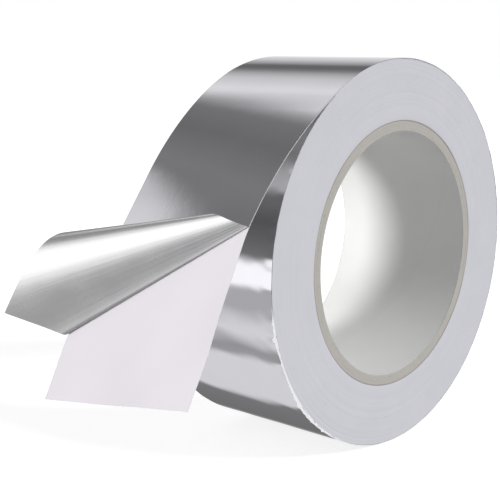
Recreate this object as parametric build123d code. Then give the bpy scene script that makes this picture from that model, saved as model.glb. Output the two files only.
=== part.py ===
from build123d import *
import math
import os

os.makedirs("parts", exist_ok=True)

# A roll of aluminium foil tape on a release liner, wound on a spiral paper core.
# The origin is the centre of the core's bore. +Y runs along the roll's axis and +Z is up.
# The strip winds anticlockwise as seen from -Y, and its free tail leaves towards -X.
# The tail's near edge is the one at -Y and its far edge is the one at +Y.
# Lengths are in millimetres and angles in degrees. A depth is measured from the foil's
# shiny outer face towards the liner.

# ---------------------------------------------------------------- driving dimensions
# Roll and core
tape_width = 50.0
roll_diameter = 120.0
bore_diameter = 76.2
core_inset = 0.2
inner_ply_thickness = 0.6
board_ply_thickness = 1.15
outer_ply_thickness = 0.35

# The strip's three layers, from the outside of the roll inwards
foil_thickness = 0.06
adhesive_thickness = 0.05
liner_thickness = 0.09
lap_gap = 0.15
joint_gap = 0.06

# The free tail: its two edges leave the roll together, bend, and end in one plane
departure_from_top = 33.8
tail_slope = 53.5
near_straight = 7.0
near_bend_length = 39.0
far_bend_length = 34.0
peel_near = 48.5
peel_far = 86.9

# The bare liner past the slanting peel line
liner_near_length = 50.8
liner_far_length = 20.2
liner_bend = 12.0

# The peeled foil: a cone whose straight lines all meet in an apex past the peel line's
# near end. A sweep is the flat angle at the apex, measured from the peel line.
apex_beyond_peel = 12.0
fold_sweep = 1.7
fold_turn = 112.0
fold_end_gap_sweep = 0.05
fold_sections = 7
curl_sections = 30
corner_trim_sweep = 0.3
curl_bend = [0.6, 4.0, 12.0, 6.0]

# ---------------------------------------------------------------- derived values
roll_radius = roll_diameter / 2
half_width = tape_width / 2
adhesive_depth = foil_thickness
liner_depth = adhesive_depth + adhesive_thickness
strip_thickness = liner_depth + liner_thickness
lap_rise = strip_thickness + lap_gap
departure_angle = 90 + departure_from_top
tail_breaks = sorted(
    {joint_gap, near_straight, far_bend_length, near_straight + near_bend_length, peel_far}
)


def flat_vector(angle):
    """A unit vector in the XZ plane, at an angle from +X towards +Z."""
    return Vector(math.cos(math.radians(angle)), 0, math.sin(math.radians(angle)))


def slab(edges, width):
    """Fills closed edges that lie in the XZ plane and gives the face a width along Y."""
    return extrude(make_face(edges), width / 2, dir=(0, 1, 0), both=True)


# ---------------------------------------------------------------- the core
def tube(inner_radius, wall, length):
    """A plain tube about the Y axis, centred on the origin."""
    ring = Circle(inner_radius + wall) - Circle(inner_radius)
    return extrude(Plane.XZ * ring, length / 2, both=True)


def core_plies():
    """The paper plies from the bore outwards, by name, and the radius that they end at."""
    walls = {
        "core_inner_ply": inner_ply_thickness,
        "core_first_board_ply": board_ply_thickness,
        "core_second_board_ply": board_ply_thickness,
        "core_outer_ply": outer_ply_thickness,
    }
    plies = {}
    radius = bore_diameter / 2
    for name, wall in walls.items():
        plies[name] = tube(radius, wall, tape_width - 2 * core_inset)
        radius += wall
    return plies, radius


# ---------------------------------------------------------------- the wound strip
def spiral_arcs(depth):
    """The last turn at a depth: two half circles on two centres, which end one lap rise
    further out than they start."""
    out = flat_vector(departure_angle)
    quarter_turn = flat_vector(departure_angle + 90)
    last_radius = roll_radius - depth
    first_radius = last_radius - lap_rise / 2
    first_centre = out * (-lap_rise / 2)
    middle = out * -last_radius
    rising = ThreePointArc(
        first_centre + out * first_radius, first_centre + quarter_turn * first_radius, middle
    )
    closing = ThreePointArc(middle, quarter_turn * -last_radius, out * last_radius)
    return rising, closing


def last_turn_layer(outer_depth, inner_depth):
    """One layer of the outermost turn, between two depths."""
    outer_rising, outer_closing = spiral_arcs(outer_depth)
    inner_rising, inner_closing = spiral_arcs(inner_depth)
    start_face = Line(inner_rising @ 0, outer_rising @ 0)
    end_face = Line(outer_closing @ 1, inner_closing @ 1)
    edges = [outer_rising, outer_closing, end_face, inner_closing, inner_rising, start_face]
    return slab(edges, tape_width)


def wound_turns(core_radius):
    """All the turns below the last one, with the step that the last turn starts from."""
    rising, closing = spiral_arcs(strip_thickness)
    step = Line(closing @ 1, rising @ 0)
    body = slab([rising, closing, step], tape_width)
    core_space = extrude(Plane.XZ * Circle(core_radius), tape_width, both=True)
    return body - core_space


# ---------------------------------------------------------------- the free tail
def run_direction(slope):
    """Down the tail, at a slope below the horizontal."""
    return flat_vector(180 + slope)


def inward(slope):
    """Square to the tail's run, towards the roll."""
    return flat_vector(slope - 90)


def slope_at(distance, straight, bend_length):
    """The slope of a tail edge that runs straight, bends evenly, and runs straight again."""
    share = min(max((distance - straight) / bend_length, 0), 1)
    return departure_from_top + (tail_slope - departure_from_top) * share


def tail_edge(y, straight, bend_length, depth):
    """A long edge of the tail at a depth, as lines and arcs between the shared breaks."""
    begin_slope = departure_from_top
    place = inward(begin_slope) * (depth - roll_radius) + Vector(0, y, 0)
    place = place + run_direction(begin_slope) * joint_gap
    spans = []
    for begin, finish in zip(tail_breaks, tail_breaks[1:]):
        before = slope_at(begin, straight, bend_length)
        after = slope_at(finish, straight, bend_length)
        if after - before < 1e-6:
            spans.append(Line(place, place + run_direction(before) * (finish - begin)))
        else:
            radius = (finish - begin) / math.radians(after - before) - depth
            centre = place + inward(before) * radius
            middle = centre - inward((before + after) / 2) * radius
            spans.append(ThreePointArc(place, middle, centre - inward(after) * radius))
        place = spans[-1] @ 1
    return spans


def near_edge(depth):
    return tail_edge(-half_width, near_straight, near_bend_length, depth)


def far_edge(depth):
    return tail_edge(half_width, 0, far_bend_length, depth)


def edge_strip(edge, outer_depth, inner_depth):
    """The thin face between two depths along one long edge of the tail."""
    outer = edge(outer_depth)
    inner = edge(inner_depth)
    start_line = Line(inner[0] @ 0, outer[0] @ 0)
    end_line = Line(outer[-1] @ 1, inner[-1] @ 1)
    return make_face(outer + [end_line] + inner[::-1] + [start_line])


# The peel line and the frame that the bare liner and the peeled foil start from
tail_run = run_direction(tail_slope)
peel_far_end = far_edge(0)[-1] @ 1
peel_near_end = near_edge(0)[-1] @ 1 - tail_run * (peel_far - peel_near)
peel_length = (peel_far_end - peel_near_end).length
across = (peel_far_end - peel_near_end).normalized()
outward = across.cross(tail_run).normalized()
past_peel = outward.cross(across)


def tail_layer(outer_depth, inner_depth):
    """One layer of the tail, from the roll to the peel line."""
    near_strip = edge_strip(near_edge, outer_depth, inner_depth)
    far_strip = edge_strip(far_edge, outer_depth, inner_depth)
    whole = loft([near_strip, far_strip], ruled=True)
    cut = Plane(peel_near_end - past_peel * joint_gap / 2, x_dir=across, z_dir=past_peel)
    return split(whole, bisect_by=cut, keep=Keep.BOTTOM)


def bare_liner():
    """The liner past the peel line, bent about its inner face along that line."""
    bend_axis = Axis((0, 0, 0), across)
    run = tail_run.rotate(bend_axis, -liner_bend)
    thickness = outward.rotate(bend_axis, -liner_bend) * liner_thickness
    near_start = peel_near_end - outward * strip_thickness
    far_start = peel_far_end - outward * strip_thickness
    corners = [
        near_start + run * joint_gap,
        far_start + run * joint_gap,
        far_start + run * liner_far_length,
        near_start + run * liner_near_length,
    ]
    return extrude(make_face(Polyline(corners, close=True)), dir=thickness, amount=liner_thickness)


# ---------------------------------------------------------------- the peeled foil
# The flat pattern, with the apex at its origin and the strip's length along its X
apex = peel_near_end - across * apex_beyond_peel
peel_angle = across.get_angle(tail_run)
flat_peel = Vector(math.cos(math.radians(peel_angle)), math.sin(math.radians(peel_angle)), 0)
flat_near_start = flat_peel * apex_beyond_peel
flat_far_start = flat_peel * (apex_beyond_peel + peel_length)
flat_near_corner = flat_near_start + Vector(liner_near_length, 0, 0)
flat_far_corner = flat_far_start + Vector(liner_far_length, 0, 0)


def flat_angle(point):
    return math.degrees(math.atan2(point.Y, point.X))


far_corner_sweep = peel_angle - flat_angle(flat_far_corner)
last_sweep = peel_angle - flat_angle(flat_near_corner) - corner_trim_sweep


def reach(sweep, begin, finish):
    """How far from the apex a straight line of the cone meets one side of the flat pattern."""
    angle = math.radians(peel_angle - sweep)
    side = finish - begin
    return (side.X * begin.Y - side.Y * begin.X) / (
        side.X * math.sin(angle) - side.Y * math.cos(angle)
    )


def cone_bend(sweep):
    """Degrees of turning for each degree of sweep: even in the fold, then by curl_bend."""
    if sweep < fold_sweep:
        return fold_turn / fold_sweep
    place = (sweep - fold_sweep) / (last_sweep - fold_sweep) * (len(curl_bend) - 1)
    first = min(int(place), len(curl_bend) - 2)
    return curl_bend[first] + (curl_bend[first + 1] - curl_bend[first]) * (place - first)


def cone_frames(sweeps):
    """The cone's line, and the foil's outward side on it, at each of the rising sweeps."""
    line = across
    side = outward
    reached = 0.0
    steps = 12
    frames = []
    for sweep in sweeps:
        step = (sweep - reached) / steps
        for number in range(steps):
            bend = cone_bend(reached + (number + 0.5) * step)
            turning = Axis((0, 0, 0), side + line * bend)
            angle = step * math.hypot(1, bend)
            line = line.rotate(turning, angle)
            side = side.rotate(turning, angle)
        reached = sweep
        frames.append((line, side))
    return frames


def cone_section(sweep, line, side, outer_depth, inner_depth):
    """The thin face that a layer of the foil has along one line of the cone."""
    near_reach = reach(sweep, flat_near_start, flat_near_corner)
    if sweep < far_corner_sweep:
        far_reach = reach(sweep, flat_far_start, flat_far_corner)
    else:
        far_reach = reach(sweep, flat_far_corner, flat_near_corner)
    outer = apex - side * outer_depth
    inner = apex - side * inner_depth
    corners = [
        outer + line * near_reach,
        outer + line * far_reach,
        inner + line * far_reach,
        inner + line * near_reach,
    ]
    return make_face(Polyline(corners, close=True))


def cone_layer(sweeps, outer_depth, inner_depth):
    """One layer of the peeled foil, lofted through the sections at the sweeps."""
    sections = [
        cone_section(sweep, line, side, outer_depth, inner_depth)
        for sweep, (line, side) in zip(sweeps, cone_frames(sweeps))
    ]
    return loft(sections)


def even_steps(begin, finish, count):
    return [begin + (finish - begin) * number / count for number in range(count + 1)]


fold_sweeps = even_steps(0, fold_sweep - fold_end_gap_sweep, fold_sections)
flap_sweeps = sorted(even_steps(fold_sweep, last_sweep, curl_sections) + [far_corner_sweep])

# ---------------------------------------------------------------- the parts
parts, core_outer_radius = core_plies()
parts["wound_turns"] = wound_turns(core_outer_radius)
parts["last_turn_foil"] = last_turn_layer(0, adhesive_depth)
parts["last_turn_adhesive"] = last_turn_layer(adhesive_depth, liner_depth)
parts["last_turn_liner"] = last_turn_layer(liner_depth, strip_thickness)
parts["tail_foil"] = tail_layer(0, adhesive_depth)
parts["tail_adhesive"] = tail_layer(adhesive_depth, liner_depth)
parts["tail_liner"] = tail_layer(liner_depth, strip_thickness)
parts["bare_liner"] = bare_liner()
parts["fold_foil"] = cone_layer(fold_sweeps, 0, adhesive_depth)
parts["fold_adhesive"] = cone_layer(fold_sweeps, adhesive_depth, liner_depth)
parts["flap_foil"] = cone_layer(flap_sweeps, 0, adhesive_depth)
parts["flap_adhesive"] = cone_layer(flap_sweeps, adhesive_depth, liner_depth)

for name, shape in parts.items():
    export_step(shape, f"parts/{name}.step")

# ---------------------------------------------------------------- the hinge lines
fold_line, fold_side = cone_frames([fold_sweep])[0]
hinges = {
    "tail": (inward(departure_from_top) * -roll_radius, Vector(0, 1, 0)),
    "bare liner": (peel_near_end - outward * strip_thickness, across),
    "flap": (apex - fold_side * liner_depth, fold_line),
}
for name, (place, direction) in hinges.items():
    print(name, "turns about", place, "along", direction)
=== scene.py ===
import math

import bpy
import numpy as np
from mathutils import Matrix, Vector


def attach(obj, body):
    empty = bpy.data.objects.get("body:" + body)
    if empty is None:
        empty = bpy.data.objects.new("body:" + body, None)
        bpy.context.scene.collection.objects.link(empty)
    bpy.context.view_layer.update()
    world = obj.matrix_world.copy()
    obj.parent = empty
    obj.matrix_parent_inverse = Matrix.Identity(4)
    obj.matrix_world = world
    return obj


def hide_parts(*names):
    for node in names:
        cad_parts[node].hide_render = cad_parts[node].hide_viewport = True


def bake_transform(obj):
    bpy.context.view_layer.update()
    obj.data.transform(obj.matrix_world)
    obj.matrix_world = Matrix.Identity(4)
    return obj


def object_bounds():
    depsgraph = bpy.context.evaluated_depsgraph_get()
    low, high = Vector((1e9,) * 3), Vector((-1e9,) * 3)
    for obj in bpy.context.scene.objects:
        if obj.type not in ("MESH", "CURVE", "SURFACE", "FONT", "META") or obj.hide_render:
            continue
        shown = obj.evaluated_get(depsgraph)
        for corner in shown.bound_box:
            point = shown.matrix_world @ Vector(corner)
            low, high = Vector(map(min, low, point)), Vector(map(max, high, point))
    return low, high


# A roll of aluminium foil tape on a white release liner, wound on a spiral paper core.
# Shapes are worked out in millimetres, in the CAD frame, and put into the meshes in metres.
# The strip's depth is measured from the foil's shiny outer face towards the liner.

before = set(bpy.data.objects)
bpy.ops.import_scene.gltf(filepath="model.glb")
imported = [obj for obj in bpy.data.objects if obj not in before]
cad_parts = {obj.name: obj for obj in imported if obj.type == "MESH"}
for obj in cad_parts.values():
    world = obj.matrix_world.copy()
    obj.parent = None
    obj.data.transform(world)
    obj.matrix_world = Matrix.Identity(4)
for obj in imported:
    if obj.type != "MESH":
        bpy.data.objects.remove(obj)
cad_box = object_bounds()

# ---------------------------------------------------------------- the strip and the roll
half_width = 25.0
roll_radius = 60.0
bore_radius = 38.1
core_half_length = 24.8
ply_walls = (0.6, 1.15, 1.15, 0.35)
core_radius = bore_radius + sum(ply_walls)
foil_back = 0.06
adhesive_back = 0.11
strip_back = 0.20
lap_rise = 0.35
turn_pitch = 0.2
departure_angle = math.radians(123.8)

# The free tail: its edges leave the roll at one slope, bend, and end in one plane
first_slope = math.radians(33.8)
last_slope = math.radians(53.5)
near_straight = 7.0
near_bend = 39.0
far_bend = 34.0
peel_near = 48.5
peel_far = 86.9

# The bare liner and the peeled foil past the slanting peel line
liner_near = 50.8
liner_far = 20.2
liner_bend = math.radians(12.0)
bend_begins = -1.5
bend_length = 6.0
apex_gap = 12.0
fold_sweep = math.radians(1.7)
fold_turn = math.radians(129.0)
curl_bend = (-2.9, 4.0, 14.2, 1.0)
corner_trim = math.radians(0.3)

# Small irregularities of the wound strip
dent_depth = 0.012
side_inset = 0.04
edge_growth = 0.12
fringe_inset = 0.12
fringe_root = 0.33
fringe_stand_off = 0.10
fringe_thickness = 0.03

# Three distances at the peel line: before and after the liner's bend, and out from the fold. They are
# only worked into points that are not kept
liner_blend_before = 1.0
liner_blend_after = 7.0
fold_blend = 2.5

# The slanting butt seam of the lining paper, in metres
seam_rise = 0.0145
seam_shift = 0.012
seam_spacing = 0.0455


# ---------------------------------------------------------------- arithmetic on arrays
def flat_vector(angle):
    """Unit vectors in the XZ plane, at angles from +X towards +Z."""
    angle = np.asarray(angle, float)
    return np.stack([np.cos(angle), np.zeros_like(angle), np.sin(angle)], axis=-1)


def unit(vector):
    """The vector scaled to length 1."""
    return vector / np.linalg.norm(vector)


def turned(vectors, axis, angle):
    """Vectors turned about a unit axis: the part along the axis stays, and the part across
    it turns by the angle (Rodrigues' formula)."""
    along = (vectors @ axis)[..., None] * axis
    return along + (vectors - along) * math.cos(angle) + np.cross(axis, vectors) * math.sin(angle)


def ripples(first, second, wavelengths, count, seed):
    """A smooth random field of unit size: a sum of plane sine waves with random directions,
    phases and wavelengths between the two given, divided by the root of half their number."""
    draw = np.random.default_rng(seed)
    total = np.zeros(np.broadcast(first, second).shape)
    for number in range(count):
        heading, phase, share = draw.uniform(0, 2 * math.pi, 2).tolist() + [draw.uniform()]
        wave = 2 * math.pi / (wavelengths[0] * (wavelengths[1] / wavelengths[0]) ** share)
        total += np.sin(wave * (first * math.cos(heading) + second * math.sin(heading)) + phase)
    return total / math.sqrt(count / 2)


def smooth_step(value, begin, end):
    """0 before begin and 1 after end, and between them 3 t squared less 2 t cubed."""
    share = np.clip((value - begin) / (end - begin), 0, 1)
    return share * share * (3 - 2 * share)


# ---------------------------------------------------------------- meshes from grids
def grid_quads(rows, columns, wrap_rows=False, wrap_columns=False):
    """The corner numbers of a grid's quads, with the last row or column joined to the first
    where it wraps."""
    row = np.arange(rows if wrap_rows else rows - 1)[:, None]
    column = np.arange(columns if wrap_columns else columns - 1)[None, :]
    next_row = (row + 1) % rows
    next_column = (column + 1) % columns
    corners = [
        row * columns + column,
        next_row * columns + column,
        next_row * columns + next_column,
        row * columns + next_column,
    ]
    return np.stack([np.broadcast_to(c, (row.size, column.size)) for c in corners], -1).reshape(-1, 4)


def enclosed_volume(points, quads):
    """Six times the volume inside closed quads: the triple products of their triangles."""
    a, b, c, d = (points[quads[:, k]] for k in range(4))
    return float((a * np.cross(b, c)).sum() + (a * np.cross(c, d)).sum())


def put_mesh(name, points, quads, pattern, material):
    """An object whose mesh has these points, in millimetres, and quads that are turned to
    face outwards. The pattern gives each point its place on the flat strip, in metres."""
    if enclosed_volume(points, quads) < 0:
        quads = quads[:, ::-1]
    mesh = bpy.data.meshes.new(name)
    mesh.vertices.add(len(points))
    mesh.vertices.foreach_set("co", (points * 0.001).astype(np.float32).ravel())
    mesh.loops.add(quads.size)
    mesh.loops.foreach_set("vertex_index", quads.astype(np.int32).ravel())
    mesh.polygons.add(len(quads))
    mesh.polygons.foreach_set("loop_start", np.arange(0, quads.size, 4, dtype=np.int32))
    mesh.update(calc_edges=True)
    layer = mesh.uv_layers.new(name="strip")
    layer.data.foreach_set("uv", (pattern[quads.ravel()] * 0.001).astype(np.float32).ravel())
    mesh.validate()
    mesh.shade_smooth()
    mesh.set_sharp_from_angle(angle=math.radians(35))
    mesh.materials.append(material)
    piece = bpy.data.objects.new(name, mesh)
    bpy.context.scene.collection.objects.link(piece)
    return piece


def thin_shell(name, outer, inner, pattern, material):
    """A closed sheet: the grid of points on its outer face, the grid on its inner face, and a
    rim of quads between the borders of the two."""
    rows, columns = outer.shape[:2]
    number = np.arange(rows * columns).reshape(rows, columns)
    border = np.concatenate([number[0, :-1], number[:-1, -1], number[-1, :0:-1], number[:0:-1, 0]])
    after = np.roll(border, -1)
    shift = rows * columns
    rim = np.stack([after, border, border + shift, after + shift], axis=-1)
    face = grid_quads(rows, columns)
    quads = np.concatenate([face, face[:, ::-1] + shift, rim[:, ::-1]])
    points = np.concatenate([outer.reshape(-1, 3), inner.reshape(-1, 3)])
    flat = np.concatenate([pattern.reshape(-1, 2)] * 2)
    return put_mesh(name, points, quads, flat, material)


def ring_body(name, radius, height, angle, material):
    """A closed ring about the Y axis. Each row is the loop of its cross-section at one angle,
    given as radii and heights along Y, and both the rows and the loop wrap round."""
    points = flat_vector(angle)[:, None, :] * radius[..., None]
    points[..., 1] = height
    quads = grid_quads(*radius.shape, wrap_rows=True, wrap_columns=True)
    pattern = np.stack([radius * angle[:, None], height], axis=-1)
    return put_mesh(name, points.reshape(-1, 3), quads, pattern.reshape(-1, 2), material)


# ---------------------------------------------------------------- node trees
class Signal:
    """A socket's value in a node tree. Sums, products and the like on it add Math nodes, and
    node() adds a node of any other type."""

    def __init__(self, tree, socket=None):
        self.tree = tree
        self.socket = socket

    def node(self, kind, settings=None, inputs=None, output=0):
        """Adds a node. Its settings are made first, then its sockets get values or links."""
        made = self.tree.nodes.new(kind)
        for name, value in (settings or {}).items():
            if name == "stops":
                fill_ramp(made.color_ramp, value)
            else:
                setattr(made, name, value)
        for name, value in (inputs or {}).items():
            if isinstance(value, Signal):
                self.tree.links.new(value.socket, made.inputs[name])
            else:
                made.inputs[name].default_value = value
        return Signal(self.tree, made.outputs[output] if made.outputs else None)

    def math(self, operation, *values):
        inputs = dict(enumerate((self,) + values))
        return self.node("ShaderNodeMath", {"operation": operation}, inputs)

    def flipped(self, operation, value):
        return self.node("ShaderNodeMath", {"operation": operation}, {0: value, 1: self})

    def __add__(self, other):
        return self.math("ADD", other)

    def __sub__(self, other):
        return self.math("SUBTRACT", other)

    def __mul__(self, other):
        return self.math("MULTIPLY", other)

    def __truediv__(self, other):
        return self.math("DIVIDE", other)

    def __rsub__(self, other):
        return self.flipped("SUBTRACT", other)

    __radd__ = __add__
    __rmul__ = __mul__

    def between(self, low, high):
        """0 at or below low, 1 at or above high, and a smooth step between them."""
        return self.node(
            "ShaderNodeMapRange",
            {"interpolation_type": "SMOOTHSTEP"},
            {"Value": self, "From Min": low, "From Max": high},
        )

    def noise(self, vector, scale, detail=3.0, roughness=0.5):
        inputs = {"Vector": vector, "Scale": scale, "Detail": detail, "Roughness": roughness}
        return self.node("ShaderNodeTexNoise", None, inputs, "Fac")

    def mixed(self, share, first, second):
        """The first colour where share is 0 and the second where it is 1."""
        inputs = {0: share, 6: first, 7: second}
        return self.node("ShaderNodeMix", {"data_type": "RGBA"}, inputs, 2)

    def stretched(self, vector, scale):
        """The vector with its parts multiplied by the scale."""
        return self.node("ShaderNodeMapping", None, {"Vector": vector, "Scale": scale})

    def bump(self, height, strength, distance):
        inputs = {"Height": height, "Strength": strength, "Distance": distance}
        return self.node("ShaderNodeBump", None, inputs)


def fill_ramp(ramp, stops):
    """Gives a colour ramp these (place, brightness) stops."""
    while len(ramp.elements) > 1:
        ramp.elements.remove(ramp.elements[-1])
    for number, (place, value) in enumerate(stops):
        element = ramp.elements[0] if number == 0 else ramp.elements.new(place)
        element.position = place
        element.color = (value, value, value, 1)


def colour(red, green, blue):
    return (red, green, blue, 1.0)


def new_material(name, build):
    """A material whose surface is a Principled shader with the sockets that build returns."""
    material = bpy.data.materials.new(name)
    material.use_nodes = True
    material.node_tree.nodes.clear()
    start = Signal(material.node_tree)
    shader = start.node("ShaderNodeBsdfPrincipled", None, build(start))
    start.node("ShaderNodeOutputMaterial", None, {"Surface": shader})
    return material


def object_place(start):
    return start.node("ShaderNodeTexCoord", None, None, "Object")


def strip_place(start):
    """The place on the flat strip in metres: along it in X, and across it in Y."""
    return start.node("ShaderNodeTexCoord", None, None, "UV")


# ---------------------------------------------------------------- materials
def foil_sockets(start):
    """Bright rolled aluminium: streaks along the strip, cloudy gloss and faint handling marks."""
    place = strip_place(start)
    streaks = start.noise(start.stretched(place, (60, 3500, 1)), 1.0, 2.0, 0.5)
    clouds = start.noise(place, 70.0, 3.0, 0.55)
    marks = start.noise(start.stretched(place, (1.0, 1.6, 1)), 420.0, 4.0, 0.6)
    tone = start.mixed(clouds, colour(0.865, 0.852, 0.905), colour(0.925, 0.915, 0.955))
    height = streaks * 0.25 + marks * 0.5 + clouds * 2.0
    return {
        "Base Color": tone,
        "Metallic": 1.0,
        "Roughness": 0.03 + clouds * 0.06 + streaks * 0.02,
        "Normal": start.bump(height, 0.22, 0.00003),
    }


def adhesive_sockets(start):
    """Clear adhesive on the back of the foil: a satin silver with fine creases that fan out
    from the pattern's origin, the tip of the peeled cone."""
    place = strip_place(start)
    split = start.node("ShaderNodeSeparateXYZ", None, {"Vector": place})
    v = Signal(start.tree, split.socket.node.outputs["Y"])
    fan = start.node("ShaderNodeCombineXYZ", None, {"X": v.math("ARCTAN2", split) * 30, "Y": split * 14})
    lines = start.noise(fan, 1.0, 3.0, 0.6)
    clouds = start.noise(place, 120.0, 3.0, 0.5)
    tone = start.mixed(clouds, colour(0.80, 0.80, 0.815), colour(0.90, 0.895, 0.90))
    return {
        "Base Color": tone,
        "Metallic": 0.88,
        "Roughness": 0.21 + clouds * 0.10,
        "Normal": start.bump(lines, 0.5, 0.0001),
    }


def liner_sockets(start):
    """White siliconed release paper: a faint sheen, fine fibre and a trace of lilac."""
    place = strip_place(start)
    fibre = start.noise(start.stretched(place, (1.0, 1.7, 1)), 2600.0, 4.0, 0.65)
    clouds = start.noise(place, 45.0, 2.0, 0.5)
    tone = start.mixed(clouds, colour(0.635, 0.605, 0.64), colour(0.68, 0.655, 0.69))
    return {
        "Base Color": tone,
        "Roughness": 0.42 + fibre * 0.12,
        "IOR": 1.35,
        "Normal": start.bump(fibre + clouds * 3.0, 0.2, 0.00002),
    }


def fibre_sockets(start):
    """Torn paper fibre at the rim: bright white and fuzzy."""
    fuzz = start.noise(object_place(start), 3500.0, 3.0, 0.6)
    return {
        "Base Color": start.mixed(fuzz, colour(0.90, 0.90, 0.91), colour(0.97, 0.97, 0.97)),
        "Roughness": 0.9,
        "Normal": start.bump(fuzz, 0.5, 0.00005),
    }


def radius_signal(start, place):
    """The distance from the roll's axis, in metres."""
    split = start.node("ShaderNodeSeparateXYZ", None, {"Vector": place})
    x = split
    z = Signal(start.tree, split.socket.node.outputs["Z"])
    return (x * x + z * z).math("SQRT")


def wound_edge_sockets(start):
    """The slit edges of the turns: white liner between hair lines of metal, slightly soiled."""
    place = object_place(start)
    radius = radius_signal(start, place)
    turns = (radius * (2 * math.pi / (turn_pitch * 0.001))).math("SINE") * 0.5 + 0.5
    groups = start.node(
        "ShaderNodeTexNoise", {"noise_dimensions": "1D"},
        {"W": radius, "Scale": 1400.0, "Detail": 4.0, "Roughness": 0.7}, "Fac",
    )
    mottle = start.noise(place, 95.0, 4.0, 0.6)
    dust = start.noise(place, 900.0, 2.0, 0.5).between(0.70, 0.78)
    pale = start.mixed(mottle, colour(0.68, 0.685, 0.735), colour(0.755, 0.745, 0.79))
    lined = start.mixed(turns * 0.10 + groups * 0.22, pale, colour(0.50, 0.51, 0.54))
    soiled = start.mixed(dust * 0.35, lined, colour(0.36, 0.37, 0.40))
    return {
        "Base Color": soiled,
        "Roughness": 0.55,
        "IOR": 1.4,
        "Normal": start.bump(groups + turns * 0.3, 0.35, 0.00006),
    }


def lining_sockets(start):
    """Smooth grey-white lining paper at the bore, with a faint slanting butt seam. Its cut ends
    are as grey as the board."""
    place = object_place(start)
    split = start.node("ShaderNodeSeparateXYZ", None, {"Vector": place})
    y = Signal(start.tree, split.socket.node.outputs["Y"])
    z = Signal(start.tree, split.socket.node.outputs["Z"])
    angle = z.math("ARCTAN2", split)
    helix = (y + angle * seam_rise + seam_shift).math("PINGPONG", seam_spacing)
    seam = 1 - helix.between(0.00008, 0.00035)
    fibre = start.noise(place, 1900.0, 4.0, 0.6)
    clouds = start.noise(place, 60.0, 2.0, 0.5)
    tone = start.mixed(clouds, colour(0.75, 0.75, 0.735), colour(0.81, 0.81, 0.795))
    marked = start.mixed(seam * 0.06, tone, colour(0.40, 0.39, 0.37))
    cut_end = y.math("ABSOLUTE").between(0.02462, 0.02470)
    marked = start.mixed(cut_end, marked, colour(0.52, 0.51, 0.465))
    return {
        "Base Color": marked,
        "Roughness": 0.38 + fibre * 0.1,
        "Normal": start.bump(fibre * 0.4 + clouds - seam * 0.4, 0.3, 0.00004),
    }


def board_sockets(start):
    """Grey-beige recycled board, cut across: short fibres and a few dark flecks."""
    place = object_place(start)
    radius = radius_signal(start, place)
    fibre = start.noise(place, 2400.0, 5.0, 0.7)
    layers = start.node(
        "ShaderNodeTexNoise", {"noise_dimensions": "1D"},
        {"W": radius, "Scale": 3200.0, "Detail": 2.0}, "Fac",
    )
    flecks = start.noise(place, 1500.0, 1.0, 0.5).between(0.68, 0.76)
    tone = start.mixed(fibre * 0.6 + layers * 0.4, colour(0.42, 0.395, 0.36), colour(0.61, 0.585, 0.545))
    flecked = start.mixed(flecks * 0.5, tone, colour(0.22, 0.20, 0.18))
    return {
        "Base Color": flecked,
        "Roughness": 0.85,
        "Normal": start.bump(fibre, 0.6, 0.00008),
    }


def wrap_shadow_sockets(start):
    """The thin paper round the core, painted dark: a painted shadow line along the outer border of the
    core's end ring, next to the tape.
    """
    place = object_place(start)
    fibre = start.noise(place, 2600.0, 4.0, 0.65)
    # Painted shadow: these dark tones stand in for the shade at the ring's outer border, next to the
    # tape.
    tone = start.mixed(fibre, colour(0.30, 0.28, 0.26), colour(0.44, 0.41, 0.375))
    return {
        "Base Color": tone,
        "Roughness": 0.8,
        "Normal": start.bump(fibre, 0.5, 0.00006),
    }


foil = new_material("foil", foil_sockets)
adhesive = new_material("adhesive", adhesive_sockets)
release_liner = new_material("release_liner", liner_sockets)
torn_fibre = new_material("torn_fibre", fibre_sockets)
wound_edge = new_material("wound_edge", wound_edge_sockets)
core_lining_paper = new_material("core_lining_paper", lining_sockets)
core_board = new_material("core_board", board_sockets)
core_wrap_paper = new_material("core_wrap_paper", wrap_shadow_sockets)


# ---------------------------------------------------------------- the core
def ply_border(angle, number):
    """The wavy radius between two plies: the plain radius and two small sine waves round the
    core, which fade out at the bore and at the core's outer face."""
    radius = bore_radius + sum(ply_walls[:number])
    if number in (0, len(ply_walls)):
        return np.full_like(angle, radius)
    return radius + 0.05 * np.sin(3 * angle + number) + 0.035 * np.sin(7 * angle + 2.3 * number)


def core_ply(name, number, material):
    """One paper tube: its cross-section is a rectangle with 0.06 mm rounded corners, whose ends
    stand a little proud or low, by ripples round the core."""
    angle = np.linspace(0, 2 * math.pi, 240, endpoint=False)
    inner = ply_border(angle, number)[:, None]
    outer = ply_border(angle, number + 1)[:, None]
    soft = 0.06
    share = np.array([0, 0, 0.3, 1])
    lift = np.array([-1, -0.3, 0, 0])
    across = np.concatenate([share, [0], -share[::-1]]) * soft
    part = np.array([0, 0, 0, 0, 0.5, 1, 1, 1, 1])
    rise = np.concatenate([lift, [0.15], lift[::-1]]) * soft
    wave = 0.04 * ripples(angle * 12, np.full_like(angle, 5.0 * number), (4, 20), 9, 40 + number)
    top = core_half_length + wave[:, None] * 0.6 + rise[None, :]
    low = -core_half_length + wave[::-1, None] * 0.6 - rise[None, ::-1]
    face = inner + (outer - inner) * part[None, :] + across[None, :]
    down = np.linspace(1, -1, 12)[None, 1:-1] * (core_half_length - 0.2)
    wall_out = np.repeat(outer, 10, axis=1)
    wall_in = np.repeat(inner, 10, axis=1)
    radius = np.concatenate([face, wall_out, face[:, ::-1], wall_in], axis=1)
    ones = np.ones_like(inner)
    height = np.concatenate([top, ones * down, low, ones * down[:, ::-1]], axis=1)
    return ring_body(name, radius, height, angle, material)


core_lining = core_ply("core_lining", 0, core_lining_paper)
core_inner_board = core_ply("core_inner_board", 1, core_board)
core_outer_board = core_ply("core_outer_board", 2, core_board)
core_wrap = core_ply("core_wrap", 3, core_wrap_paper)


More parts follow.
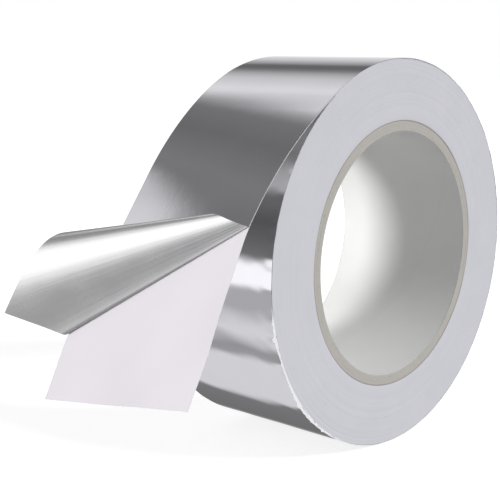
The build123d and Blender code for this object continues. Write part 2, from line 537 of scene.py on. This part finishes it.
# ---------------------------------------------------------------- the wound turns
def last_turn_radius(past):
    """The roll's outer radius at an angle past the departure: one lap rise low where the last
    turn starts, rising by a half cosine over half a turn, then even."""
    rise = 0.5 * lap_rise * (1 + np.cos(np.clip(past, 0, math.pi)))
    return roll_radius - rise


def side_height(radius, angle, seed):
    """How far the turns stand proud of the flat side: a random step for each turn and broad
    ripples over the face, all under a tenth of a millimetre."""
    draw = np.random.default_rng(seed)
    count = int((roll_radius - core_radius) / turn_pitch) + 2
    steps = np.convolve(draw.normal(0, 1, count + 6), [0.1, 0.25, 0.6, 1, 0.6, 0.25, 0.1], "valid")
    edges = core_radius + turn_pitch * np.arange(count)
    each = np.interp(radius, edges, draw.normal(0, 0.006, count) + 0.009 * steps)
    x = radius * np.cos(angle)
    z = radius * np.sin(angle)
    return each + 0.03 * ripples(x, z, (18, 60), 12, seed + 1)


def wound_layers():
    """The turns below the last one: flat sides with a step for each turn, between the core and
    the underside of the last turn."""
    past = np.linspace(0, 2 * math.pi, 289)[:-1]
    angle = departure_angle + past
    outer = (last_turn_radius(past) - strip_back)[:, None]
    count = 96
    share = np.linspace(0, 1, count)[None, :]
    radius = core_radius + (outer - core_radius) * share
    near = -half_width + side_inset - side_height(radius, angle[:, None], 11)
    far = half_width - side_inset + side_height(radius, angle[:, None], 12)
    inner_fade = 1 - np.exp(-(radius - core_radius) / 0.5)
    near = near + 0.1 * (1 - inner_fade)
    far = far - 0.1 * (1 - inner_fade)
    radii = np.concatenate([radius, radius[:, ::-1]], axis=1)
    heights = np.concatenate([near, far[:, ::-1]], axis=1)
    return ring_body("wound_layers", radii, heights, angle, wound_edge)


wound_turns_piece = wound_layers()


def last_turn_grid(outer_depth, inner_depth, proud):
    """The last turn's faces between two depths: points go round the spiral and across the
    width. Dents are shallow ripples, deeper on the lower left, that fade out near the turn's
    two ends. At the edges a sixth power of the place across adds shorter ripples."""
    past = np.linspace(0, 2 * math.pi, 541)[:, None]
    across = np.linspace(-1, 1, 33)[None, :]
    angle = departure_angle + past
    radius = last_turn_radius(past)
    fade = smooth_step(past, 0, 0.35) * (1 - smooth_step(past, 2 * math.pi - 0.9, 2 * math.pi - 0.25))
    fade = dent_depth * fade * (1 + 1.6 * np.exp(-(((past - 1.35) / 0.45) ** 2)))
    along = past * roll_radius
    width = half_width + proud(along)
    height = across * width
    wrinkle = ripples(along, height * 0.35, (5, 16), 14, 21) * 0.5
    wrinkle = wrinkle + ripples(along, height * 0.8, (9, 30), 10, 22)
    shape = radius + fade * wrinkle
    edge = np.abs(across) ** 6 * fade * ripples(along, across * 40, (3, 9), 12, 23) * 1.5
    faces = []
    for depth in (outer_depth, inner_depth):
        points = flat_vector(angle) * (shape + edge - depth)[..., None]
        points[..., 1] = height
        faces.append(points)
    pattern = np.stack(np.broadcast_arrays(-along, height), axis=-1)
    return faces[0], faces[1], pattern


def even_edge(along):
    """A slit edge with nothing proud of it."""
    return np.zeros_like(along)


def ragged_edge(along):
    """The liner's edge: proud by 0.1 mm, with short shreds up to 0.4 mm on the lower left."""
    shreds = np.clip(ripples(along, 0 * along, (1.2, 6), 24, 31), 0, 2) ** 2
    place = np.exp(-(((along - 92) / 30) ** 2))
    return 0.07 + 0.03 * ripples(along, 0 * along, (4, 20), 10, 32) + 0.09 * shreds * place


roll_foil = thin_shell("roll_foil", *last_turn_grid(0, foil_back, even_edge), foil)
roll_adhesive = thin_shell(
    "roll_adhesive", *last_turn_grid(foil_back, adhesive_back, even_edge), adhesive
)
roll_liner = thin_shell(
    "roll_liner", *last_turn_grid(adhesive_back, strip_back, ragged_edge), release_liner
)


def edge_fringe():
    """Torn liner fibres that stand out from the roll's near rim on its lower left: a thin ring
    in the plane of the side, from 0.45 mm inside the rim to a ragged edge outside it. The
    edge's reach is the square of a sum of short ripples, greater in two clumps that are bell
    curves of the angle, and it fades out at both ends."""
    angle = np.radians(np.linspace(184, 252, 1300))[:, None]
    along = angle * roll_radius
    fade = smooth_step(angle, math.radians(185), math.radians(192))
    fade = fade * (1 - smooth_step(angle, math.radians(230), math.radians(248)))
    clump = np.exp(-(((np.degrees(angle) - 195) / 4) ** 2))
    clump = clump + np.exp(-(((np.degrees(angle) - 220) / 8) ** 2))
    jagged = np.clip(ripples(along, 0 * along, (0.6, 5), 30, 61), 0, 1.9) ** 2
    stand = fade * (0.30 + 0.50 * clump + 0.16 * jagged * (0.5 + clump))
    share = np.linspace(0, 1, 6)[None, :]
    root = fringe_root * fade
    radius = roll_radius - fringe_inset - root + (0.02 + root + stand) * share
    sway = 0.06 * ripples(along, 3 * share, (0.8, 5), 16, 62)
    height = -half_width - fringe_stand_off - (0.08 + sway) * share * fade
    faces = []
    for inset in (0.0, fringe_thickness):
        points = flat_vector(angle) * radius[..., None]
        points[..., 1] = height + inset
        faces.append(points)
    pattern = np.stack(np.broadcast_arrays(along, radius), axis=-1)
    return thin_shell("edge_fringe", faces[0], faces[1], pattern, torn_fibre)


rim_fringe = edge_fringe()


# ---------------------------------------------------------------- the free tail
def run_direction(slope):
    """Down the tail, at slopes below the horizontal."""
    return flat_vector(math.pi + np.asarray(slope, float))


def outward_of(slope):
    """Square to the tail's run, away from the roll."""
    return flat_vector(math.pi / 2 + np.asarray(slope, float))


def tail_edge(distance, y, straight, bend, depth):
    """Points on a long edge at distances down it: a straight run, an arc on which the slope
    grows evenly, and a straight run, all offset squarely by the depth."""
    rate = (last_slope - first_slope) / bend
    on_straight = np.minimum(distance, straight)
    on_arc = np.clip(distance - straight, 0, bend)
    on_end = np.maximum(distance - straight - bend, 0)
    slope = first_slope + rate * on_arc
    points = flat_vector(departure_angle) * roll_radius
    points = points + on_straight[..., None] * run_direction(first_slope)
    arc = (outward_of(slope) - outward_of(first_slope)) / rate
    points = points + arc + on_end[..., None] * run_direction(last_slope)
    points = points - outward_of(slope) * np.asarray(depth)[..., None]
    points[..., 1] = y
    return points


def tail_grid(finish_near, finish_far, outer_depth, inner_depth, proud):
    """The tail's faces between two depths: straight lines from the near edge to the far edge,
    at equal distances down them, that end on a slanting line."""
    down = np.linspace(0, 1, 180)[:, None]
    share = np.linspace(0, 1, 49)[None, :]
    distance = down * (finish_near + (finish_far - finish_near) * share)
    wide = 1 + proud / half_width
    along = (share - 0.5) * wide + 0.5
    faces = []
    for depth in (outer_depth, inner_depth):
        level = np.full_like(distance, depth)
        near = tail_edge(distance, -half_width, near_straight, near_bend, level)
        far = tail_edge(distance, half_width, 0.0, far_bend, level)
        faces.append(near + (far - near) * along[..., None])
    sideways = (along - 0.5) * 2 * half_width
    pattern = np.stack(np.broadcast_arrays(distance, sideways), axis=-1)
    return faces[0], faces[1], pattern


# The peel line, and the frame that the bare liner and the peeled foil start from
tail_run = run_direction(last_slope)
near_end = tail_edge(np.array(peel_near), -half_width, near_straight, near_bend, np.array(0.0))
far_end = tail_edge(np.array(peel_far), half_width, 0.0, far_bend, np.array(0.0))
across = unit(far_end - near_end)
outward = unit(np.cross(across, tail_run))
past_peel = np.cross(outward, across)
peel_length = float(np.linalg.norm(far_end - near_end))
run_past = float(tail_run @ past_peel)
run_across = float(tail_run @ across)
liner_lap = bend_begins / run_past

strip_foil = thin_shell("strip_foil", *tail_grid(peel_near, peel_far, 0, foil_back, 0), foil)
strip_adhesive = thin_shell(
    "strip_adhesive", *tail_grid(peel_near, peel_far, foil_back, adhesive_back, 0), adhesive
)
strip_liner = thin_shell(
    "strip_liner",
    *tail_grid(peel_near + liner_lap, peel_far + liner_lap, adhesive_back, strip_back, edge_growth),
    release_liner,
)
for piece in (strip_foil, strip_adhesive, strip_liner):
    piece.visible_glossy = False


# ---------------------------------------------------------------- the bare liner
def loose_liner_grid():
    """The liner past the peel line: its flat pattern is measured across and past the line, and
    the distance past it is carried round a soft arc, then straight, with faint ripples that
    grow towards the free end."""
    down = np.linspace(0, 1, 100)[:, None]
    share = np.linspace(0, 1, 61)[None, :]
    wide = 1 + edge_growth / half_width
    side = (share - 0.5) * wide + 0.5
    begin = liner_lap
    finish = liner_near + (liner_far - liner_near) * side
    run = begin + (finish - begin) * down
    over = side * peel_length + run * run_across
    past = run * run_past
    turn = np.clip((past - bend_begins) / bend_length, 0, 1) * liner_bend
    rate = liner_bend / bend_length
    on_arc = np.clip(past - bend_begins, 0, bend_length)
    straight = np.maximum(past - bend_begins - bend_length, 0)
    ahead = bend_begins + np.sin(rate * on_arc) / rate + straight * math.cos(liner_bend)
    sunk = (1 - np.cos(rate * on_arc)) / rate + straight * math.sin(liner_bend)
    free = smooth_step(past, 2, 30)
    wave = free * 0.25 * ripples(over, past, (25, 60), 8, 51)
    faces = []
    for depth in (adhesive_back, strip_back):
        level = depth - wave
        faces.append(
            near_end
            + over[..., None] * across
            + (ahead - level * np.sin(turn))[..., None] * past_peel
            - (sunk + level * np.cos(turn))[..., None] * outward
        )
    sideways = (side - 0.5) * 2 * half_width
    pattern = np.stack(np.broadcast_arrays(peel_near + run, sideways), axis=-1)
    return faces[0], faces[1], pattern


loose_liner = thin_shell("loose_liner", *loose_liner_grid(), release_liner)
loose_liner.visible_glossy = False


# ---------------------------------------------------------------- the peeled foil
peel_angle = math.atan2(run_past, run_across)
flat_line = np.array([math.cos(peel_angle), math.sin(peel_angle)])
flat_near = flat_line * apex_gap
flat_far = flat_line * (apex_gap + peel_length)
near_corner = flat_near + np.array([liner_near, 0.0])
far_corner = flat_far + np.array([liner_far, 0.0])
far_corner_sweep = peel_angle - math.atan2(far_corner[1], far_corner[0])
last_sweep = peel_angle - math.atan2(near_corner[1], near_corner[0]) - corner_trim
apex = near_end - across * apex_gap


def reach(sweep, begin, finish):
    """How far from the apex the lines of the cone meet one side of the flat pattern."""
    angle = peel_angle - sweep
    side = finish - begin
    crossed = side[0] * begin[1] - side[1] * begin[0]
    return crossed / (side[0] * np.sin(angle) - side[1] * np.cos(angle))


def cone_bend(sweep):
    """Turning for each unit of sweep: even in the fold, then by the four curl values."""
    knots = np.linspace(fold_sweep, last_sweep, len(curl_bend))
    soft = smooth_step(sweep, fold_sweep * 0.92, fold_sweep * 1.08)
    return (1 - soft) * fold_turn / fold_sweep + soft * np.interp(sweep, knots, curl_bend)


def cone_frames(sweeps):
    """The cone's line and the foil's outward side at each sweep, carried on from the peel line:
    each step turns both about the outward side plus the line times the bend."""
    line, side, reached = across, outward, 0.0
    lines, sides = [], []
    for sweep in sweeps:
        steps = 10
        step = (sweep - reached) / steps
        for number in range(steps):
            bend = float(cone_bend(reached + (number + 0.5) * step))
            turning = unit(side + line * bend)
            angle = step * math.hypot(1, bend)
            line = turned(line, turning, angle)
            side = turned(side, turning, angle)
        reached = sweep
        lines.append(line)
        sides.append(side)
    return np.array(lines), np.array(sides)


def cone_grid(outer_depth, inner_depth):
    """The peeled foil's faces between two depths: straight lines from the apex, cut to the flat
    pattern, at sweeps from the peel line to the loose corner."""
    fold = np.linspace(0, fold_sweep * 1.1, 26)
    curl = np.linspace(fold_sweep * 1.1, last_sweep, 130)[1:]
    sweeps = np.sort(np.concatenate([fold, curl, [far_corner_sweep]]))
    lines, sides = cone_frames(sweeps)
    near_reach = reach(sweeps, flat_near, near_corner)
    far_reach = np.where(
        sweeps < far_corner_sweep,
        reach(sweeps, flat_far, far_corner),
        reach(sweeps, far_corner, near_corner),
    )
    share = np.linspace(0, 1, 72)[None, :]
    distance = near_reach[:, None] + (far_reach - near_reach)[:, None] * share
    points = apex + distance[..., None] * lines[:, None, :]
    faces = [points - sides[:, None, :] * depth for depth in (outer_depth, inner_depth)]
    angle = (peel_angle - sweeps)[:, None]
    pattern = np.stack([distance * np.cos(angle), distance * np.sin(angle)], axis=-1)
    return faces[0], faces[1], pattern


peeled_foil = thin_shell("peeled_foil", *cone_grid(0, foil_back), foil)
peeled_adhesive = thin_shell("peeled_adhesive", *cone_grid(foil_back, adhesive_back), adhesive)
for piece in (peeled_foil, peeled_adhesive):
    piece.visible_glossy = False


# ---------------------------------------------------------------- bodies, nodes and sheets
def metres(point):
    """A point in millimetres as a plain tuple in metres."""
    return tuple(float(value) * 0.001 for value in point)


for piece, node, finish in (
    (core_lining, "core_inner_ply", "core_lining_paper"),
    (core_inner_board, "core_first_board_ply", "core_board"),
    (core_outer_board, "core_second_board_ply", "core_board"),
    (core_wrap, "core_outer_ply", "core_wrap_paper"),
    (wound_turns_piece, "wound_turns", "wound_edge"),
    (roll_foil, "last_turn_foil", "foil"),
    (roll_adhesive, "last_turn_adhesive", "adhesive"),
    (roll_liner, "last_turn_liner", "release_liner"),
):
    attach(piece, "roll")
    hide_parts(node)

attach(rim_fringe, "roll")

for piece, node, finish in (
    (strip_foil, "tail_foil", "foil"),
    (strip_adhesive, "tail_adhesive", "adhesive"),
    (strip_liner, "tail_liner", "release_liner"),
):
    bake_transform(piece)
    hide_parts(node)

metres(near_end - past_peel * liner_blend_before)
metres(near_end + past_peel * liner_blend_after)
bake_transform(loose_liner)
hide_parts("bare_liner")

for piece, nodes, finish in (
    (peeled_foil, ("fold_foil", "flap_foil"), "foil"),
    (peeled_adhesive, ("fold_adhesive", "flap_adhesive"), "adhesive"),
):
    metres(near_end + outward * fold_blend)
    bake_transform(piece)
    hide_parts(*nodes)


# ---------------------------------------------------------------- the studio
def add_floor():
    """A plain pale floor just under the roll. It glows a little, so shadows on it stay faint,
    and it lights nothing itself."""
    size, level = 3.0, cad_box[0][2] - 0.0003
    mesh = bpy.data.meshes.new("floor")
    corners = [(-size, -size, level), (size, -size, level), (size, size, level), (-size, size, level)]
    mesh.from_pydata(corners, [], [(0, 1, 2, 3)])

    def sockets(start):
        return {
            "Base Color": colour(0.7, 0.7, 0.7),
            "Roughness": 0.9,
            "Specular IOR Level": 0.0,
            "Emission Color": colour(1, 1, 1),
            "Emission Strength": 0.62,
        }

    mesh.materials.append(new_material("floor", sockets))
    floor = bpy.data.objects.new("floor", mesh)
    bpy.context.scene.collection.objects.link(floor)
    floor.visible_glossy = False
    floor.visible_diffuse = False


def add_light(name, place, strength):
    """A soft lamp far off in the direction of the place, shining on the roll."""
    lamp = bpy.data.lights.new(name, "SUN")
    lamp.angle = math.radians(14)
    lamp.energy = strength
    light = bpy.data.objects.new(name, lamp)
    bpy.context.scene.collection.objects.link(light)
    away = unit(np.array(place))
    light.location = place
    light.rotation_euler = (math.acos(away[2]), 0, math.atan2(away[1], away[0]) + math.pi / 2)
    light.visible_glossy = False
    return light


# Brightness of the studio by the angle round the roll's axis, from +X towards +Z in degrees:
# as seen beside the roll, as seen square to its axis, and as seen nearly along its axis
panels_beside = (
    (0, 0.88), (22, 0.57), (31, 0.30), (34, 0.14), (39, 0.13), (43, 0.2),
    (48, 0.4), (54, 0.58), (67, 0.76), (71, 0.72), (75, 0.36), (79, 0.18), (90, 0.15), (105, 0.2),
    (118, 0.17), (129, 0.36), (138, 0.4), (144, 0.14), (160, 0.09), (182, 0.16), (186, 1.05),
    (199, 1.05), (202, 0.42), (212, 0.42), (229, 0.72), (240, 0.32), (246, 0.34),
    (251, 0.7), (283, 0.68), (289, 0.19), (320, 0.16), (345, 0.78),
)
panels_square = (
    (0, 0.15), (60, 0.2), (92, 0.26), (108, 0.42), (118, 0.62), (128, 0.85), (140, 1.25), (184, 1.25),
    (192, 0.88), (198, 0.6), (203, 0.5), (207, 0.43), (211, 0.26), (217, 0.26), (240, 0.28),
    (262, 0.24), (340, 0.22),
)
panels_along = ((0, 0.15), (106, 0.18), (112, 0.5), (116, 0.72), (130, 0.64), (150, 0.2))
# Where the second gives way to the first, and then to the third, by how much of a direction
# is along the axis
panel_border = ((0, 0.5), (100, 0.5), (115, 0.57), (135, 0.60), (150, 0.5))
border_softness = 0.03
along_axis = (0.77, 0.80)


def round_axis(start, turn, stops):
    """A brightness that varies round the roll's axis, from stops at angles in degrees."""
    shares = [(angle / 360, value) for angle, value in stops]
    return start.node("ShaderNodeValToRGB", {"stops": shares}, {"Fac": turn})


def light_world():
    """An even white room for what the camera sees, and a dimmer one for matt surfaces. Glossy
    surfaces see soft panels and dark gaps that run along the roll's axis."""
    world = bpy.data.worlds.new("studio")
    world.use_nodes = True
    world.node_tree.nodes.clear()
    bpy.context.scene.world = world
    world.cycles.sampling_method = "NONE"
    start = Signal(world.node_tree)
    view = start.node("ShaderNodeTexCoord", None, None, "Generated")
    split = start.node("ShaderNodeSeparateXYZ", None, {"Vector": view})
    y = Signal(start.tree, split.socket.node.outputs["Y"])
    z = Signal(start.tree, split.socket.node.outputs["Z"])
    turn = (z.math("ARCTAN2", split) / (2 * math.pi) + 1).math("FRACT")
    past_border = y - round_axis(start, turn, panel_border)
    beside = past_border.between(-border_softness, border_softness)
    beyond = y.between(*along_axis)
    panels = start.mixed(
        beside, round_axis(start, turn, panels_square), round_axis(start, turn, panels_beside)
    )
    panels = start.mixed(beyond, panels, round_axis(start, turn, panels_along))
    path = start.node("ShaderNodeLightPath", None, None, "Is Glossy Ray")
    camera_ray = Signal(start.tree, path.socket.node.outputs["Is Camera Ray"])
    even = start.mixed(camera_ray, colour(0.36, 0.36, 0.37), colour(1, 1, 1))
    seen = start.mixed(path, even, panels)
    background = start.node("ShaderNodeBackground", None, {"Color": seen, "Strength": 1.0})
    start.node("ShaderNodeOutputWorld", None, {"Surface": background})


def place_camera():
    """The view is 48 degrees round from the roll's axis and 11 degrees above it."""
    data = bpy.data.cameras.new("camera")
    data.lens = 81
    data.sensor_width = 36
    camera = bpy.data.objects.new("camera", data)
    bpy.context.scene.collection.objects.link(camera)
    camera.location = (-0.28453, -0.22062, 0.06508)
    camera.rotation_euler = (math.radians(79.45), 0, math.radians(-47.86))
    bpy.context.scene.camera = camera


add_floor()
add_light("key", (-1.5, 0.35, 0.24), 2.7)
add_light("fill", (0.3, -1.2, 0.8), 2.05)
light_world()
place_camera()
bpy.context.scene.view_settings.view_transform = "Standard"
